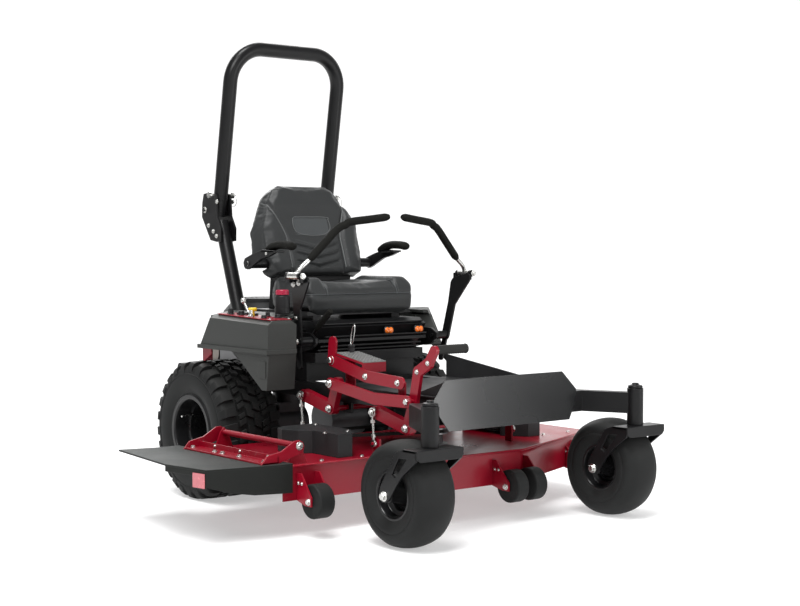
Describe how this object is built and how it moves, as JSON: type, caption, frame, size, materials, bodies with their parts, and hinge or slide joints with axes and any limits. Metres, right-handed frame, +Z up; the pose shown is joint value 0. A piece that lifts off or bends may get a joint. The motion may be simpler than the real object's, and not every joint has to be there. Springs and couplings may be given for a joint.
{
  "type": "zero turn mower",
  "caption": "Ride-on zero turn mower: steered by two lap bars, mid-mounted lifting deck with side discharge, caster front wheels and a folding roll hoop.",
  "frame": {"origin": "on the ground at the middle of the whole machine's box", "axes": "+Z up, -Y to the machine's front, +X to the driver's left"},
  "size_m": [1.876, 2.132, 1.881],
  "materials": {
    "frame_black": "satin black powder coat",
    "panel_gloss": "gloss black",
    "fender_plastic": "moulded charcoal plastic",
    "deck_red": "gloss crimson powder coat",
    "cover_plastic": "dark grey",
    "engine_metal": "cast",
    "drive_metal": "dark cast housings",
    "exhaust_steel": "heat-dulled steel",
    "blade_steel": "brushed",
    "zinc": "zinc plated",
    "seat_vinyl": "soft grey-black vinyl",
    "grip_foam": "foam grip",
    "tyre_rubber": "matte rubber",
    "chute_rubber": "moulded rubber",
    "lamp_amber": "clear amber lens",
    "switch_yellow": "gloss yellow"
  },
  "bodies": {
    "chassis": {"main_frame": "frame_black", "front_axle": "frame_black", "floor_pan": "frame_black", "front_panel": "panel_gloss", "fender_right": "fender_plastic", "fender_left": "fender_plastic", "console_plate": "deck_red", "seat_pod": "frame_black", "marker_lamps": "lamp_amber", "rops_posts": "frame_black", "engine_block": "engine_metal", "engine_shroud": "cover_plastic", "air_cleaner": "cover_plastic", "muffler": "exhaust_steel", "rear_bumper": "frame_black", "transaxles": "drive_metal", "oil_reservoir": "cover_plastic", "height_quadrant": "deck_red"},
    "roll_hoop": {"rops_hoop": "frame_black", "rops_pins": "zinc"},
    "seat": {"seat_pan": "frame_black", "seat_cushion": "seat_vinyl", "seat_back": "seat_vinyl"},
    "armrest_right_arm": {"armrest_right": "seat_vinyl"},
    "armrest_left_arm": {"armrest_left": "seat_vinyl"},
    "lap_lever_right_arm": {"lap_lever_right": "frame_black"},
    "lap_lever_left_arm": {"lap_lever_left": "frame_black"},
    "lap_bar_right": {"lap_handle_right": "zinc", "lap_grip_right": "grip_foam"},
    "lap_bar_left": {"lap_handle_left": "zinc", "lap_grip_left": "grip_foam"},
    "rear_wheel_right": {"rear_tyre_right": "tyre_rubber", "rear_rim_right": "frame_black"},
    "rear_wheel_left": {"rear_tyre_left": "tyre_rubber", "rear_rim_left": "frame_black"},
    "caster_right": {"caster_fork_right": "frame_black"},
    "caster_left": {"caster_fork_left": "frame_black"},
    "caster_wheel_right": {"caster_tyre_right": "tyre_rubber", "caster_rim_right": "frame_black"},
    "caster_wheel_left": {"caster_tyre_left": "tyre_rubber", "caster_rim_left": "frame_black"},
    "deck": {"deck_shell": "deck_red", "belt_covers": "cover_plastic", "spindle_housings": "engine_metal", "deck_belt": "chute_rubber"},
    "spindle_right": {"cutter_right": "blade_steel"},
    "spindle_centre": {"cutter_centre": "blade_steel"},
    "spindle_left": {"cutter_left": "blade_steel"},
    "discharge_chute": {"chute": "chute_rubber"},
    "gauge_roller_right": {"roller_right": "tyre_rubber"},
    "gauge_roller_centre": {"roller_centre": "tyre_rubber"},
    "gauge_roller_left": {"roller_left": "tyre_rubber"},
    "pedal": {"lift_pedal": "deck_red"},
    "bellcrank": {"lift_bellcrank": "deck_red"},
    "lift_rod": {"lift_link": "deck_red"},
    "front_hangers": {"hangers_front": "zinc"},
    "rear_hangers": {"hangers_rear": "zinc"},
    "throttle": {"throttle_lever": "zinc"},
    "blade_switch": {"pto_knob": "switch_yellow"},
    "brake": {"brake_lever": "grip_foam"}
  },
  "joints": [
    {"name": "hoop_fold", "type": "hinge", "parent": "chassis", "child": "roll_hoop", "pos_m": [0.134, 0.718, 1.172], "axis": [-1, 0, 0], "range_deg": [0, 110]},
    {"name": "seat_slide", "type": "slide", "parent": "chassis", "child": "seat", "axis": [0, -1, 0], "range_m": [-0.03, 0.05]},
    {"name": "armrest_right_flip", "type": "hinge", "parent": "seat", "child": "armrest_right_arm", "pos_m": [-0.18, 0.379, 0.946], "axis": [-1, 0, 0], "range_deg": [0, 80]},
    {"name": "armrest_left_flip", "type": "hinge", "parent": "seat", "child": "armrest_left_arm", "pos_m": [0.448, 0.379, 0.946], "axis": [-1, 0, 0], "range_deg": [0, 80]},
    {"name": "lap_lever_right_drive", "type": "hinge", "parent": "chassis", "child": "lap_lever_right_arm", "pos_m": [-0.172, -0.062, 0.65], "axis": [1, 0, 0], "range_deg": [-10, 14]},
    {"name": "lap_lever_left_drive", "type": "hinge", "parent": "chassis", "child": "lap_lever_left_arm", "pos_m": [0.44, -0.062, 0.65], "axis": [1, 0, 0], "range_deg": [-10, 14]},
    {"name": "lap_bar_right_swing", "type": "hinge", "parent": "lap_lever_right_arm", "child": "lap_bar_right", "pos_m": [-0.295, -0.115, 0.905], "axis": [0, -1, 0], "range_deg": [0, 70]},
    {"name": "lap_bar_left_swing", "type": "hinge", "parent": "lap_lever_left_arm", "child": "lap_bar_left", "pos_m": [0.563, -0.115, 0.905], "axis": [0, 1, 0], "range_deg": [0, 70]},
    {"name": "rear_wheel_right_spin", "type": "hinge", "parent": "chassis", "child": "rear_wheel_right", "pos_m": [-0.325, 0.388, 0.279], "axis": [1, 0, 0], "continuous": true},
    {"name": "rear_wheel_left_spin", "type": "hinge", "parent": "chassis", "child": "rear_wheel_left", "pos_m": [0.593, 0.388, 0.279], "axis": [1, 0, 0], "continuous": true},
    {"name": "caster_right_swivel", "type": "hinge", "parent": "chassis", "child": "caster_right", "pos_m": [-0.365, -1.002, 0.4], "axis": [0, 0, 1], "continuous": true},
    {"name": "caster_left_swivel", "type": "hinge", "parent": "chassis", "child": "caster_left", "pos_m": [0.633, -1.002, 0.4], "axis": [0, 0, 1], "continuous": true},
    {"name": "caster_wheel_right_spin", "type": "hinge", "parent": "caster_right", "child": "caster_wheel_right", "pos_m": [-0.365, -0.882, 0.184], "axis": [1, 0, 0], "continuous": true},
    {"name": "caster_wheel_left_spin", "type": "hinge", "parent": "caster_left", "child": "caster_wheel_left", "pos_m": [0.633, -0.882, 0.184], "axis": [1, 0, 0], "continuous": true},
    {"name": "deck_lift", "type": "slide", "parent": "chassis", "child": "deck", "axis": [0, 0, 1], "range_m": [0, 0.07]},
    {"name": "pedal_turn", "type": "hinge", "parent": "chassis", "child": "pedal", "pos_m": [0.134, -0.672, 0.37], "axis": [1, 0, 0], "range_deg": [0, 24.1]},
    {"name": "bellcrank_turn", "type": "hinge", "parent": "chassis", "child": "bellcrank", "pos_m": [0.134, -0.212, 0.402], "axis": [1, 0, 0], "range_deg": [0, 24.1]},
    {"name": "lift_rod_turn", "type": "hinge", "parent": "pedal", "child": "lift_rod", "pos_m": [-0.211, -0.71, 0.47], "axis": [-1, 0, 0], "range_deg": [0, 24.1]},
    {"name": "front_hanger_tilt", "type": "hinge", "parent": "deck", "child": "front_hangers", "pos_m": [0.134, -0.497, 0.3], "axis": [1, 0, 0], "range_deg": [0, 17.1]},
    {"name": "rear_hanger_tilt", "type": "hinge", "parent": "deck", "child": "rear_hangers", "pos_m": [0.134, -0.052, 0.3], "axis": [1, 0, 0], "range_deg": [0, 12.5]},
    {"name": "chute_fold", "type": "hinge", "parent": "deck", "child": "discharge_chute", "pos_m": [-0.536, -0.252, 0.318], "axis": [0, 1, 0], "range_deg": [0, 95]},
    {"name": "gauge_roller_right_spin", "type": "hinge", "parent": "deck", "child": "gauge_roller_right", "pos_m": [-0.51, -0.568, 0.131], "axis": [1, 0, 0], "continuous": true},
    {"name": "gauge_roller_centre_spin", "type": "hinge", "parent": "deck", "child": "gauge_roller_centre", "pos_m": [0.291, -0.754, 0.131], "axis": [1, 0, 0], "continuous": true},
    {"name": "gauge_roller_left_spin", "type": "hinge", "parent": "deck", "child": "gauge_roller_left", "pos_m": [0.796, -0.578, 0.131], "axis": [1, 0, 0], "continuous": true},
    {"name": "spindle_centre_spin", "type": "hinge", "parent": "deck", "child": "spindle_centre", "pos_m": [0.159, -0.392, 0.2], "axis": [0, 0, 1], "continuous": true},
    {"name": "spindle_right_spin", "type": "hinge", "parent": "deck", "child": "spindle_right", "pos_m": [-0.341, -0.212, 0.2], "axis": [0, 0, 1], "continuous": true},
    {"name": "spindle_left_spin", "type": "hinge", "parent": "deck", "child": "spindle_left", "pos_m": [0.659, -0.212, 0.2], "axis": [0, 0, 1], "continuous": true},
    {"name": "throttle_turn", "type": "hinge", "parent": "chassis", "child": "throttle", "pos_m": [-0.336, 0.138, 0.756], "axis": [1, 0, 0], "range_deg": [-20, 25]},
    {"name": "blade_switch_pull", "type": "slide", "parent": "chassis", "child": "blade_switch", "axis": [0, 0, 1], "range_m": [0, 0.008]},
    {"name": "brake_pull", "type": "hinge", "parent": "chassis", "child": "brake", "pos_m": [-0.152, -0.012, 0.65], "axis": [-1, 0, 0], "range_deg": [0, 30]}
  ],
  "couplings": [
    {"joint": "pedal_turn", "follows": "deck_lift", "rad_per_m": 5.984},
    {"joint": "bellcrank_turn", "follows": "deck_lift", "rad_per_m": 5.984},
    {"joint": "lift_rod_turn", "follows": "deck_lift", "rad_per_m": 5.984},
    {"joint": "front_hanger_tilt", "follows": "deck_lift", "rad_per_m": 4.2387},
    {"joint": "rear_hanger_tilt", "follows": "deck_lift", "rad_per_m": 3.0917},
    {"joint": "spindle_right_spin", "follows": "spindle_centre_spin", "ratio": 1},
    {"joint": "spindle_left_spin", "follows": "spindle_centre_spin", "ratio": 1}
  ]
}
